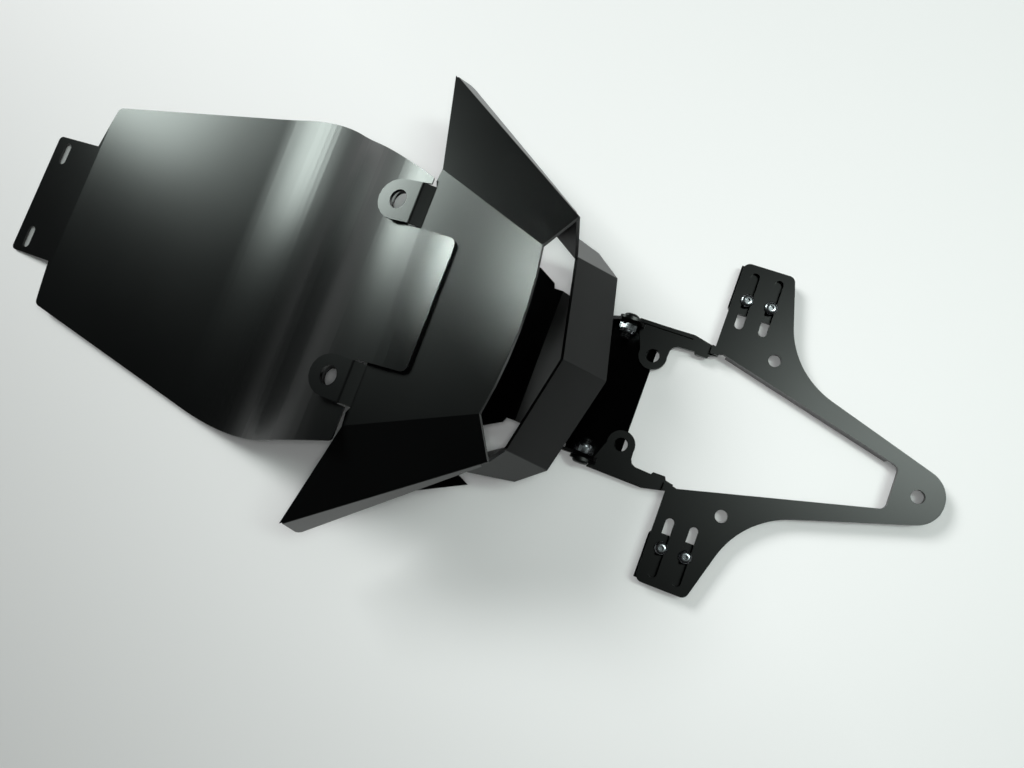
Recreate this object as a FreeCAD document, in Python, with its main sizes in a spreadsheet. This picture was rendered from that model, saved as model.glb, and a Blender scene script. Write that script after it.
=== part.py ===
import FreeCAD
import Part
import Sketcher
import math
import os

from FreeCAD import Placement, Rotation, Vector

os.makedirs("parts", exist_ok=True)
doc = FreeCAD.newDocument("tail_tidy")

# Driving sizes in millimetres and degrees: X from the slotted flange (0) to the nose, Z up from the table

SIZES = {
    "panel_thick": 1.5,
    "cowl_thick": 2.0,
    "bracket_thick": 2.0,
    "frame_thick": 3.0,
    "seat_gap": 0.1,
    "flange_half": 41.5,
    "flange_root_x": 35.5,
    "flange_bend_x": 38.0,
    "flange_bend_r": 6.0,
    "panel_under_z": 7.0,
    "panel_corner_x": 39.5,
    "panel_corner_y": 70.6,
    "panel_corner_r": 4.0,
    "flange_corner_r": 3.0,
    "left_crown_x": 192.7,
    "left_crown_y": 105.1,
    "left_crown_r": 84.0,
    "right_crown_x": 201.2,
    "right_crown_y": 107.5,
    "right_crown_r": 155.0,
    "panel_end_x": 290.8,
    "left_end_y": 65.6,
    "right_end_y": 80.7,
    "notch_x": 285.0,
    "notch_gap": 0.8,
    "valley_x": 200.5,
    "valley_r": 106.0,
    "ramp_slope": 45.0,
    "tongue_slope": 14.5,
    "crest_r": 150.0,
    "tongue_x": 317.0,
    "tongue_root_half": 37.6,
    "tongue_half": 36.1,
    "tongue_corner_r": 4.0,
    "tongue_spare": 4.0,
    "flange_slot_x": 10.5,
    "flange_slot_y": 30.4,
    "flange_slot_length": 15.0,
    "flange_slot_width": 5.5,
    "panel_hole_x": 275.4,
    "panel_hole_y": 50.4,
    "panel_hole_r": 5.0,
    "deck_x": 293.5,
    "deck_z": 81.5,
    "deck_slope": 18.2,
    "tab_out_y": 61.4,
    "deck_corner_x": 292.0,
    "deck_corner_y": 64.7,
    "fold_front_x": 292.8,
    "fold_front_y": 71.6,
    "fold_rear_x": 362.0,
    "fold_rear_y": 43.0,
    "deck_rear_mid_x": 366.0,
    "tab_hole_x": 276.4,
    "tab_hole_r": 5.4,
    "tab_round_r": 12.45,
    "tab_root_x": 287.6,
    "tab_gap": 1.9,
    "tab_side_gap": 0.8,
    "joggle_r": 1.0,
    "wing_tip_x": 272.7,
    "wing_tip_y": 132.0,
    "wing_tip_z": 60.0,
    "wing_rear_x": 373.2,
    "wing_rear_y": 62.0,
    "wing_rear_z": 100.3,
    "skirt_depth": 17.8,
    "skirt_end_depth": 2.5,
    "skirt_start": 2.0,
    "skirt_end": 4.0,
    "skirt_corner": 3.0,
    "skirt_flare": 18.0,
    "hood_front_x": 372.7,
    "hood_front_y": 53.7,
    "hood_front_z": 61.8,
    "hood_rear_x": 393.6,
    "hood_rear_y": 55.8,
    "hood_rear_z": 36.6,
    "ridge_front_x": 384.3,
    "ridge_front_y": 0.0,
    "ridge_front_z": 63.5,
    "ridge_rear_x": 401.9,
    "ridge_rear_y": 0.0,
    "ridge_rear_z": 36.8,
    "wall_low_x": 376.3,
    "wall_low_y": 63.8,
    "wall_low_z": 28.9,
    "wall_fore_x": 355.0,
    "wall_fore_y": 71.4,
    "wall_fore_z": 48.0,
    "wall_bend_x": 356.0,
    "wall_bend_y": 66.0,
    "wall_bend_z": 59.5,
    "web_share": 0.8,
    "frame_top_z": 9.5,
    "frame_flange_low": 0.0,
    "wing_plate_front_x": 457.5,
    "wing_plate_front_y": 95.8,
    "wing_plate_rear_x": 486.6,
    "wing_plate_rear_y": 95.8,
    "wing_plate_corner_r": 4.0,
    "wing_plate_low_x": 501.9,
    "wing_plate_low_y": 42.7,
    "wing_plate_curve_r": 50.0,
    "joint_y": 43.0,
    "nose_end_x": 598.0,
    "nose_end_half": 11.4,
    "nose_flat": 0.2922,
    "inner_front_y": 40.5,
    "inner_front_x": 463.0,
    "inner_rear_in": 27.5,
    "inner_rear_y": 12.0,
    "inner_corner_r": 4.0,
    "nose_hole_in": 14.0,
    "nose_hole_r": 3.8,
    "big_hole_x": 490.8,
    "big_hole_y": 46.3,
    "big_hole_r": 3.6,
    "slot_front_x": 465.7,
    "slot_pitch": 13.8,
    "slot_mid_y": 74.2,
    "slot_length": 34.3,
    "slot_width": 5.0,
    "screw_y": 74.4,
    "arm_out_y": 46.0,
    "arm_in_y": 37.0,
    "arm_sweep": 3.7,
    "arm_neck_in": 1.5,
    "arm_lug_r": 6.6,
    "arm_lug_rise": 5.3,
    "arm_lug_foot": 6.0,
    "arm_rim_gap": 1.0,
    "joint_lap": 3.0,
    "joint_step": 5.0,
    "arm_lug_out": 43.9,
    "arm_lug_thick": 2.0,
    "arm_low_top": 8.0,
    "arm_swell": 0.7,
    "bulge_x": 451.5,
    "bulge_half": 4.5,
    "bulge_depth": 1.0,
    "ear_x": 425.6,
    "ear_y": 27.4,
    "ear_r": 8.2,
    "ear_flank": 8.0,
    "ear_hole_r": 3.9,
    "ear_top_z": 6.5,
    "bolt_x": 407.0,
    "bolt_z": 10.2,
    "bolt_r": 3.0,
    "arm_strip_x": 411.0,
    "arm_flange_end_x": 444.5,
    "base_rear_x": 427.0,
    "base_rear_y": 33.0,
    "base_front_x": 399.0,
    "cheek_gap": 1.0,
    "cheek_front_x": 393.0,
    "cheek_rear_x": 416.0,
    "cheek_top_z": 16.5,
    "cheek_front_z": 6.0,
    "cheek_rear_low_z": 10.5,
    "cheek_corner_r": 5.0,
    "shelf_z": 48.5,
    "shelf_rear_x": 370.0,
    "shelf_front_x": 318.0,
    "shelf_corner_x": 364.0,
    "shelf_corner_y": 40.3,
    "shelf_side_x": 354.0,
    "shelf_side_y": 46.0,
    "web_half": 37.5,
    "pad_rear_x": 313.0,
    "pad_front_x": 296.0,
    "pad_half": 30.0,
    "stay_front_x": 325.0,
    "stay_rear_x": 350.5,
    "stay_tip_x": 330.5,
    "stay_tip_y": 92.0,
    "stay_heel_x": 358.0,
    "stay_heel_y": 78.2,
    "stay_neck_y": 74.6,
    "adaptor_thick": 3.0,
    "adaptor_front_x": 456.6,
    "adaptor_rear_x": 485.6,
    "adaptor_in_y": 66.5,
    "adaptor_out_y": 94.4,
    "adaptor_corner_r": 3.0,
    "adaptor_lip_low": 0.6,
    "screw_r": 2.0,
    "screw_hole_r": 2.15,
    "screw_head_r": 3.8,
    "screw_head_tall": 2.2,
    "screw_socket": 2.5,
    "screw_end_z": 0.6,
    "small_nut_across": 7.0,
    "small_nut_tall": 2.4,
    "bolt_head_r": 4.6,
    "bolt_head_tall": 2.0,
    "bolt_socket": 4.0,
    "bolt_end_y": 30.6,
    "bolt_hole_r": 3.2,
    "lock_nut_across": 10.0,
    "lock_nut_tall": 5.6,
}

sheet = doc.addObject("Spreadsheet::Sheet", "Sizes")
for row, (alias, amount) in enumerate(SIZES.items(), start=1):
    sheet.set("A%d" % row, alias.replace("_", " "))
    sheet.set("B%d" % row, str(amount))
    sheet.setAlias("B%d" % row, alias)
doc.recompute()


# A size that carries both its number and the expression that drives it


class Size:
    def __init__(self, text, value):
        self.text = text
        self.value = value

    def join(self, other, sign, value):
        return Size("(%s %s %s)" % (self.text, sign, other.text), value)

    def __add__(self, other):
        other = as_size(other)
        return self.join(other, "+", self.value + other.value)

    def __sub__(self, other):
        other = as_size(other)
        return self.join(other, "-", self.value - other.value)

    def __mul__(self, other):
        other = as_size(other)
        return self.join(other, "*", self.value * other.value)

    def __truediv__(self, other):
        other = as_size(other)
        return self.join(other, "/", self.value / other.value)

    def __neg__(self):
        return Size("(0 - %s)" % self.text, -self.value)


def as_size(item):
    return item if isinstance(item, Size) else Size(repr(float(item)), float(item))


def of(alias):
    return Size("Sizes.%s" % alias, float(sheet.get(alias)))


def mm(alias):
    return float(sheet.get(alias))


def root(number):
    return Size("sqrt(%s)" % number.text, math.sqrt(number.value))


def tangent(angle):
    return Size("tan(%s)" % angle.text, math.tan(math.radians(angle.value)))


# Sketch and body helpers


def new_body(name):
    body = doc.addObject("PartDesign::Body", name)
    body.Label = name
    return body


def plane_of(body, role):
    for feature in body.Origin.OriginFeatures:
        if feature.Role == role:
            return feature
    raise RuntimeError("no plane " + role)


def new_sketch(body, name, role, height=None):
    sketch = body.newObject("Sketcher::SketchObject", name)
    sketch.AttachmentSupport = [(plane_of(body, role), "")]
    sketch.MapMode = "FlatFace"
    if height is not None:
        sketch.AttachmentOffset = Placement(Vector(0, 0, height.value), Rotation())
        sketch.setExpression("AttachmentOffset.Base.z", height.text)
    return sketch


def hold(sketch, kind, geo, pos, size):
    """Ties one coordinate of a sketch point to a size."""
    if abs(size.value) < 1e-9:
        axis = -2 if kind == "DistanceX" else -1
        sketch.addConstraint(Sketcher.Constraint("PointOnObject", geo, pos, axis))
        return
    if size.value > 0:
        item = Sketcher.Constraint(kind, -1, 1, geo, pos, size.value)
        text = size.text
    else:
        item = Sketcher.Constraint(kind, geo, pos, -1, 1, -size.value)
        text = "0 - " + size.text
    index = sketch.addConstraint(item)
    sketch.setExpression("Constraints[%d]" % index, text)


def polygon(sketch, points):
    """A closed loop whose corners are all held by sizes."""
    flat = [Vector(x.value, y.value, 0) for x, y in points]
    first = None
    count = len(flat)
    for i in range(count):
        geo = sketch.addGeometry(Part.LineSegment(flat[i], flat[(i + 1) % count]), False)
        first = geo if first is None else first
    for i in range(count):
        after = first + (i + 1) % count
        sketch.addConstraint(Sketcher.Constraint("Coincident", first + i, 2, after, 1))
    for i, (x, y) in enumerate(points):
        hold(sketch, "DistanceX", first + i, 1, x)
        hold(sketch, "DistanceY", first + i, 1, y)


def circle(sketch, x, y, radius):
    shape = Part.Circle(Vector(x.value, y.value, 0), Vector(0, 0, 1), radius.value)
    geo = sketch.addGeometry(shape, False)
    hold(sketch, "DistanceX", geo, 3, x)
    hold(sketch, "DistanceY", geo, 3, y)
    index = sketch.addConstraint(Sketcher.Constraint("Radius", geo, radius.value))
    sketch.setExpression("Constraints[%d]" % index, radius.text)


def slot(sketch, x, y, length, width):
    """A slot that runs along Y: two half circles joined by two lines."""
    reach = (length - width) / 2
    radius = width / 2
    top, low = y + reach, y - reach
    a = Vector(x.value, top.value, 0)
    b = Vector(x.value, low.value, 0)
    up = Part.Circle(a, Vector(0, 0, 1), radius.value)
    down = Part.Circle(b, Vector(0, 0, 1), radius.value)
    g0 = sketch.addGeometry(Part.ArcOfCircle(up, 0, math.pi), False)
    g1 = sketch.addGeometry(Part.ArcOfCircle(down, math.pi, 2 * math.pi), False)
    out = Vector(radius.value, 0, 0)
    g2 = sketch.addGeometry(Part.LineSegment(a - out, b - out), False)
    g3 = sketch.addGeometry(Part.LineSegment(b + out, a + out), False)
    for first, p, second, q in ((g0, 2, g2, 1), (g2, 2, g1, 1), (g1, 2, g3, 1), (g3, 2, g0, 1)):
        sketch.addConstraint(Sketcher.Constraint("Tangent", first, p, second, q))
    sketch.addConstraint(Sketcher.Constraint("Vertical", g2))
    hold(sketch, "DistanceX", g0, 3, x)
    hold(sketch, "DistanceY", g0, 3, top)
    hold(sketch, "DistanceY", g1, 3, low)
    index = sketch.addConstraint(Sketcher.Constraint("Radius", g0, radius.value))
    sketch.setExpression("Constraints[%d]" % index, radius.text)


def pad(body, sketch, name, length, midplane=False, reverse=False):
    feature = body.newObject("PartDesign::Pad", name)
    feature.Profile = sketch
    feature.Length = length.value
    feature.setExpression("Length", length.text)
    feature.Midplane = midplane
    feature.Reversed = reverse
    doc.recompute()
    return feature


def pocket(body, sketch, name, reverse=False):
    """A cut right through the body, checked to remove material."""
    before = body.Shape.Volume
    feature = body.newObject("PartDesign::Pocket", name)
    feature.Profile = sketch
    feature.Type = "ThroughAll"
    feature.Midplane = True
    feature.Reversed = reverse
    doc.recompute()
    if not body.Shape.Volume < before - 1e-3:
        raise RuntimeError(name + " cuts nothing")
    return feature


def edges_at(feature, corners, axes):
    """Names of straight edges that stand on the given corners, seen along one axis."""
    found = []
    first, second = axes
    for number, edge in enumerate(feature.Shape.Edges, start=1):
        if len(edge.Vertexes) != 2 or edge.Curve.TypeId != "Part::GeomLine":
            continue
        spots = [v.Point for v in edge.Vertexes]
        for corner in corners:
            if all(
                abs(p[first] - corner[0]) < 0.02 and abs(p[second] - corner[1]) < 0.02
                for p in spots
            ):
                found.append("Edge%d" % number)
                break
    if not found:
        raise RuntimeError("no edge found on " + feature.Name)
    return found


def rounded(body, feature, name, corners, radius, axes=(0, 1)):
    fillet = body.newObject("PartDesign::Fillet", name)
    fillet.Base = (feature, edges_at(feature, corners, axes))
    fillet.Radius = radius.value
    fillet.setExpression("Radius", radius.text)
    doc.recompute()
    return fillet


def at(*pairs):
    return [(x.value, y.value) for x, y in pairs]


def both(points):
    """The points and their mirror images across the middle plane."""
    return points + [(x, -y) for x, y in points]


ZERO = Size("0", 0.0)
thick = of("panel_thick")


def blank(reach):
    """The width or height of a blank that stands well clear of what is cut from it."""
    return reach * 3


def deck_height(x):
    """Top of the sloped deck above the point x."""
    return of("deck_z") + (x - of("deck_x")) * tangent(of("deck_slope"))


# Front panel: a long strip bent to its side profile, then cut to its outline


def panel_profile():
    body = new_body("panel_profile")
    sketch = new_sketch(body, "profile_lines", "XZ_Plane")
    gap = of("seat_gap")
    spare = of("tongue_spare")
    low_bend = (of("flange_bend_x"), of("panel_under_z"))
    valley = (of("valley_x"), of("panel_under_z"))
    rise, ease = tangent(of("ramp_slope")), tangent(of("tongue_slope"))
    seat = deck_height(of("tongue_x")) + gap
    climb = seat - of("panel_under_z") + of("valley_x") * rise - of("tongue_x") * ease
    crest_x = climb / (rise - ease)
    crest = (crest_x, seat - (of("tongue_x") - crest_x) * ease)
    end = (of("tongue_x") + spare, seat + spare * ease)
    lower = [(ZERO, ZERO), low_bend, valley, crest, end]
    numbers = [(x.value, y.value) for x, y in lower]
    upper = offset_corners(numbers, thick.value)
    polygon_open_band(sketch, lower, upper, thick)
    base = pad(body, sketch, "profile_pad", blank(of("right_crown_y")), midplane=True)
    bends = (
        ("flange_bend", 1, of("flange_bend_r"), False),
        ("valley_bend", 2, of("valley_r"), False),
        ("crest_bend", 3, of("crest_r"), True),
    )
    for name, index, radius, crowned in bends:
        inner, outer = (numbers, upper) if crowned else (upper, numbers)
        base = rounded(body, base, name + "_inner", [inner[index]], radius, (0, 2))
        base = rounded(body, base, name + "_outer", [outer[index]], radius + thick, (0, 2))
    return body


def offset_corners(points, distance):
    """Corners of a polyline moved to its left side by a distance."""
    result = []
    count = len(points)
    for i in range(count):
        normals = []
        for j in (i - 1, i):
            if 0 <= j < count - 1:
                dx = points[j + 1][0] - points[j][0]
                dy = points[j + 1][1] - points[j][1]
                length = math.hypot(dx, dy)
                normals.append((-dy / length, dx / length))
        if len(normals) == 1:
            nx, ny = normals[0]
            scale = distance
        else:
            nx, ny = normals[0][0] + normals[1][0], normals[0][1] + normals[1][1]
            scale = distance / (1 + normals[0][0] * normals[1][0] + normals[0][1] * normals[1][1])
        result.append((points[i][0] + nx * scale, points[i][1] + ny * scale))
    return result


def polygon_open_band(sketch, lower, upper, t):
    """A band of even thickness: held lower corners, upper lines parallel at the sheet's distance."""
    count = len(lower)
    low = [Vector(x.value, y.value, 0) for x, y in lower]
    top = [Vector(x, y, 0) for x, y in upper]
    lows = [
        sketch.addGeometry(Part.LineSegment(low[i], low[i + 1]), False) for i in range(count - 1)
    ]
    tops = [
        sketch.addGeometry(Part.LineSegment(top[i], top[i + 1]), False) for i in range(count - 1)
    ]
    left = sketch.addGeometry(Part.LineSegment(low[0], top[0]), False)
    right = sketch.addGeometry(Part.LineSegment(low[-1], top[-1]), False)
    for chain in (lows, tops):
        for first, second in zip(chain, chain[1:]):
            sketch.addConstraint(Sketcher.Constraint("Coincident", first, 2, second, 1))
    ends = ((left, lows[0], tops[0], 1), (right, lows[-1], tops[-1], 2))
    for side, bottom, above, pos in ends:
        sketch.addConstraint(Sketcher.Constraint("Coincident", side, 1, bottom, pos))
        sketch.addConstraint(Sketcher.Constraint("Coincident", side, 2, above, pos))
        sketch.addConstraint(Sketcher.Constraint("Perpendicular", side, bottom))
    for i, (x, y) in enumerate(lower):
        geo, pos = (lows[i], 1) if i < count - 1 else (lows[-1], 2)
        hold(sketch, "DistanceX", geo, pos, x)
        hold(sketch, "DistanceY", geo, pos, y)
    for bottom, above in zip(lows, tops):
        sketch.addConstraint(Sketcher.Constraint("Parallel", bottom, above))
    for i, bottom in enumerate(lows):
        item = Sketcher.Constraint("Distance", tops[i], 1, bottom, t.value)
        index = sketch.addConstraint(item)
        sketch.setExpression("Constraints[%d]" % index, t.text)


def panel_outline():
    body = new_body("panel_outline")
    sketch = new_sketch(body, "outline_lines", "XY_Plane")
    flange = (ZERO, of("flange_half"))
    root = (of("flange_root_x"), of("flange_half"))
    corner = (of("panel_corner_x"), of("panel_corner_y"))
    left = (of("left_crown_x"), of("left_crown_y"))
    right = (of("right_crown_x"), -of("right_crown_y"))
    left_end = (of("panel_end_x"), of("left_end_y"))
    right_end = (of("panel_end_x"), -of("right_end_y"))
    notch_y = of("tab_out_y") + of("notch_gap")
    ear = (of("panel_end_x"), notch_y)
    notch = (of("notch_x"), notch_y)
    step = (of("notch_x"), of("tongue_root_half"))
    tip = (of("tongue_x"), of("tongue_half"))
    points = [flange, root, corner, left, left_end, ear, notch, step, tip]
    points += [flip(tip), flip(step), flip(notch), flip(ear), right_end, right]
    points += [flip(corner), flip(root), flip(flange)]
    polygon(sketch, points)
    base = pad(body, sketch, "outline_pad", blank(of("deck_z")))
    rounds = (
        ("flange_corners", both(at(flange)), of("flange_corner_r")),
        ("panel_corners", both(at(corner)), of("panel_corner_r")),
        ("left_crown", at(left), of("left_crown_r")),
        ("right_crown", at(right), of("right_crown_r")),
        ("tongue_corners", both(at(tip)), of("tongue_corner_r")),
        ("end_corner", at(right_end), of("flange_corner_r")),
        ("root_corners", both(at(step)), of("flange_corner_r")),
    )
    for name, corners, radius in rounds:
        base = rounded(body, base, name, corners, radius)
    holes = new_sketch(body, "panel_holes", "XY_Plane")
    for sign in (1, -1):
        y = of("panel_hole_y") * sign
        circle(holes, of("panel_hole_x"), y, of("panel_hole_r"))
        y = of("flange_slot_y") * sign
        slot(holes, of("flange_slot_x"), y, of("flange_slot_length"), of("flange_slot_width"))
    pocket(body, holes, "panel_cuts")
    return body


def flip(point):
    return (point[0], -point[1])


def build_front_panel():
    profile, outline = panel_profile(), panel_outline()
    panel = doc.addObject("Part::MultiCommon", "front_panel")
    panel.Shapes = [profile, outline]
    panel.Label = "front_panel"
    doc.recompute()
    return panel


# Facets of folded sheet: each is a thin prism about its middle surface, with round bends along shared edges


def facet(points, sheet_thick):
    """A flat polygon thickened to both sides of its middle surface."""
    normal = facet_normal(points)
    wire = Part.makePolygon(points + [points[0]])
    face = Part.Face(wire)
    face.translate(normal * (-sheet_thick / 2))
    solid = face.extrude(normal * sheet_thick)
    return solid


def facet_normal(points):
    total = Vector(0, 0, 0)
    for first, second in zip(points, points[1:] + points[:1]):
        total = total + first.cross(second)
    total.normalize()
    return total


def bend(first, second, sheet_thick):
    """A round bar that fills the bend between two facets."""
    along = second - first
    return Part.makeCylinder(sheet_thick / 2, along.Length, first, along)


def mirrored(shape):
    return shape.mirror(Vector(0, 0, 0), Vector(0, 1, 0))


def fused(shapes):
    whole = shapes[0].fuse(shapes[1:]).removeSplitter()
    if len(whole.Solids) != 1:
        raise RuntimeError("the folded sheet falls apart into %d pieces" % len(whole.Solids))
    return whole.Solids[0]


def spot(name):
    return Vector(mm(name + "_x"), mm(name + "_y"), mm(name + "_z"))


def deck_point(x, y, level=0.0):
    """A point of the deck's middle surface, raised along the deck's normal by a level."""
    slope = math.radians(mm("deck_slope"))
    below = mm("cowl_thick") / 2
    z = mm("deck_z") + (x - mm("deck_x")) * math.tan(slope)
    normal = Vector(-math.sin(slope), 0, math.cos(slope))
    return Vector(x, y, z) + normal * (level - below)


def deck_shapes():
    t = mm("cowl_thick")
    front, fold_x = mm("deck_x"), mm("fold_front_x")
    corner_y, fold_y = mm("tab_out_y"), mm("fold_front_y")
    rear_x, rear_y = mm("fold_rear_x"), mm("fold_rear_y")
    mid_x = mm("deck_rear_mid_x")
    half = [(front, corner_y), (mm("deck_corner_x"), mm("deck_corner_y"))]
    half += [(fold_x, fold_y), (rear_x, rear_y)]
    rear = []
    steps = 6
    for i in range(1, steps):
        share = 1 - i / steps * 2
        rear.append((rear_x + (mid_x - rear_x) * (1 - share * share), rear_y * share))
    outline = half + rear + [(x, -y) for x, y in reversed(half)]
    tab = tab_shape()
    return [facet([deck_point(x, y) for x, y in outline], t), tab, mirrored(tab)]


def tab_shape():
    """The left raised tab: a joggled strip cut to a round end, with its hole."""
    t = mm("cowl_thick")
    lift = t + mm("tab_gap")
    inner, outer = mm("tongue_root_half") + mm("tab_side_gap"), mm("tab_out_y")
    front, root, centre = mm("deck_x"), mm("tab_root_x"), mm("tab_hole_x")
    radius = mm("tab_round_r")
    end = centre - radius - t
    heights = [(end, lift), (root, lift), (front, 0.0), (front + t, 0.0)]
    middle = [deck_point(x, inner, level) for x, level in heights]
    band = bent_strip(middle, t, outer - inner, mm("joggle_r"))
    mid_y = (inner + outer) / 2
    plan = [(front + t, inner)]
    steps = 10
    for i in range(steps + 1):
        turn = math.pi * i / steps
        x, y = centre - radius * math.sin(turn), mid_y - (outer - inner) / 2 * math.cos(turn)
        plan.append((x, y))
    plan.append((front + t, outer))
    low = -lift
    corners = [deck_point(x, y, low) for x, y in plan]
    face = Part.Face(Part.makePolygon(corners + corners[:1]))
    up = deck_point(0, 0, 1.0) - deck_point(0, 0, 0.0)
    prism = face.extrude(up * (3 * lift))
    bore = Part.makeCylinder(mm("tab_hole_r"), 4 * lift, deck_point(centre, mid_y, low), up)
    return band.common(prism).cut(bore)


def bent_strip(middle, sheet_thick, width, radius):
    """A strip of sheet that follows the given middle line, with rounded bends, spread along Y."""
    flat = [(point.x, point.z) for point in middle]
    upper = offset_corners(flat, sheet_thick / 2)
    lower = offset_corners(flat, -sheet_thick / 2)
    y = middle[0].y
    loop = [Vector(x, y, z) for x, z in upper + lower[::-1]]
    solid = Part.Face(Part.makePolygon(loop + loop[:1])).extrude(Vector(0, width, 0))
    for first, second in ((upper, lower), (lower, upper)):
        index = 1 if first is upper else 2
        for line, r in ((first, radius + sheet_thick), (second, radius)):
            x, z = line[index]
            solid = solid.makeFillet(r, lengthwise_edges(solid, x, z))
    return solid


def lengthwise_edges(solid, x, z):
    """The edges along Y that stand on one corner of the side profile."""
    found = []
    for edge in solid.Edges:
        if all(abs(v.Point.x - x) < 0.02 and abs(v.Point.z - z) < 0.02 for v in edge.Vertexes):
            found.append(edge)
    return found


def side_shapes():
    """Wing, skirt, side wall and hood of the left side."""
    t = mm("cowl_thick")
    fold_front = deck_point(mm("fold_front_x"), mm("fold_front_y"))
    fold_rear = deck_point(mm("fold_rear_x"), mm("fold_rear_y"))
    tip, rear = spot("wing_tip"), spot("wing_rear")
    rear = onto_plane(rear, fold_front, fold_rear, tip)
    shapes = [facet([fold_front, tip, rear, fold_rear], t), bend(fold_front, fold_rear, t)]
    shapes += skirt_shapes(tip, rear)
    front, back = spot("hood_front"), spot("hood_rear")
    low, fore, fold = spot("wall_low"), spot("wall_fore"), spot("wall_bend")
    low = onto_plane(low, front, back, fore)
    fold = onto_plane(fold, front, back, fore)
    shapes += [facet([front, fold, fore, low, back], t)]
    upper = tip + (rear - tip) * mm("web_share")
    shapes += [facet([front, rear, upper], t), facet([front, upper, fold], t)]
    shapes += [bend(front, upper, t), bend(front, fold, t), bend(rear, upper, t)]
    ridge_front, ridge_back = spot("ridge_front"), spot("ridge_rear")
    ridge_back = level_onto_plane(ridge_back, front, back, ridge_front)
    shapes += [facet([front, back, ridge_back, ridge_front], t)]
    shapes += [bend(front, back, t), bend(ridge_front, ridge_back, t)]
    return shapes


def skirt_shapes(tip, rear):
    """The narrow skirt turned down along the wing's outer edge, deep at the tip and fading out."""
    t = mm("cowl_thick")
    along = rear - tip
    along.normalize()
    outward = Vector(-along.y, along.x, 0)
    outward.normalize()
    flare = math.radians(mm("skirt_flare"))
    down = outward * math.sin(flare) + Vector(0, 0, -math.cos(flare))
    deep, shallow, corner = mm("skirt_depth"), mm("skirt_end_depth"), mm("skirt_corner")
    start = tip + along * mm("skirt_start")
    end = rear - along * mm("skirt_end")
    foot = start + down * deep
    cut = [foot + along * corner, foot + along * corner / 3 - down * corner / 3, foot - down * corner]
    return [facet([start, end, end + down * shallow] + cut, t), bend(start, end, t)]


def onto_plane(point, a, b, c):
    """The point moved square onto the plane through a, b and c."""
    normal = (b - a).cross(c - a)
    normal.normalize()
    return point - normal * normal.dot(point - a)


def level_onto_plane(point, a, b, c):
    """The point moved along X onto the plane through a, b and c."""
    normal = (b - a).cross(c - a)
    return Vector(point.x - normal.dot(point - a) / normal.x, point.y, point.z)


def build_rear_cowl():
    sides = side_shapes()
    whole = fused(deck_shapes() + sides + [mirrored(shape) for shape in sides])
    cowl = doc.addObject("Part::Feature", "rear_cowl")
    cowl.Label = "rear_cowl"
    cowl.Shape = whole
    return cowl


# Number plate frame: V sheet, inner flanges, hanger arms with ears and upright flanges


def build_plate_frame():
    body = new_body("plate_frame")
    t = of("frame_thick")
    sketch = new_sketch(body, "frame_lines", "XY_Plane", of("frame_top_z") - t)
    joint = (of("wing_plate_front_x"), of("joint_y"))
    front = (of("wing_plate_front_x"), of("wing_plate_front_y"))
    rear = (of("wing_plate_rear_x"), of("wing_plate_rear_y"))
    low = (of("wing_plate_low_x"), of("wing_plate_low_y"))
    end = (of("nose_end_x"), of("nose_end_half"))
    inner_rear = (of("nose_end_x") - of("inner_rear_in"), of("inner_rear_y"))
    inner_front = (of("inner_front_x"), of("inner_front_y"))
    inner_joint = (of("wing_plate_front_x"), of("inner_front_y") - of("arm_neck_in"))
    half = [joint, front, rear, low, end]
    inner = [inner_rear, inner_front, inner_joint]
    loop = half + [flip(p) for p in reversed(half)]
    loop += [flip(p) for p in reversed(inner)] + inner
    polygon(sketch, loop)
    base = pad(body, sketch, "frame_pad", t)
    rounds = (
        ("wing_corners", both(at(front, rear)), of("wing_plate_corner_r")),
        ("wing_curves", both(at(low)), of("wing_plate_curve_r")),
        ("nose_round", both(at(end)), nose_radius(low, end)),
        ("inner_corners", both(at(inner_rear)), of("inner_corner_r")),
    )
    for name, corners, radius in rounds:
        base = rounded(body, base, name, corners, radius)
    inner_flanges(body, inner_front, inner_rear)
    arms(body)
    holes = new_sketch(body, "frame_holes", "XY_Plane")
    circle(holes, of("nose_end_x") - of("nose_hole_in"), ZERO, of("nose_hole_r"))
    for sign in (1, -1):
        circle(holes, of("big_hole_x"), of("big_hole_y") * sign, of("big_hole_r"))
        circle(holes, of("ear_x"), of("ear_y") * sign, of("ear_hole_r"))
        for number in (0, 1):
            x = of("slot_front_x") + of("slot_pitch") * number
            y = of("slot_mid_y") * sign
            slot(holes, x, y, of("slot_length"), of("slot_width"))
    pocket(body, holes, "frame_cuts")
    return body


def nose_radius(low, end):
    """The radius that rounds the nose between its flanks and leaves a short flat at the tip."""
    slope = (low[1] - end[1]) / (end[0] - low[0])
    return (end[1] - of("nose_flat")) / (root(slope * slope + 1) - slope)


def inner_flanges(body, front, rear):
    """Bands turned down along the inner edges, standing on the table."""
    t = of("frame_thick")
    run = rear[0].value - front[0].value
    fall = (front[1].value - rear[1].value) / run
    wide = t * math.sqrt(1 + fall * fall)
    inset = 6.0
    start = (front[0] + 2, front[1] - 2 * fall)
    stop = (rear[0] - inset, rear[1] + inset * fall)
    sketch = new_sketch(body, "flange_lines", "XY_Plane", of("frame_flange_low"))
    for sign in (1, -1):
        points = [
            (start[0], start[1] * sign),
            (stop[0], stop[1] * sign),
            (stop[0], (stop[1] + wide) * sign),
            (start[0], (start[1] + wide) * sign),
        ]
        polygon(sketch, points)
    pad(body, sketch, "flange_pads", of("frame_top_z") - of("frame_flange_low"))


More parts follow.
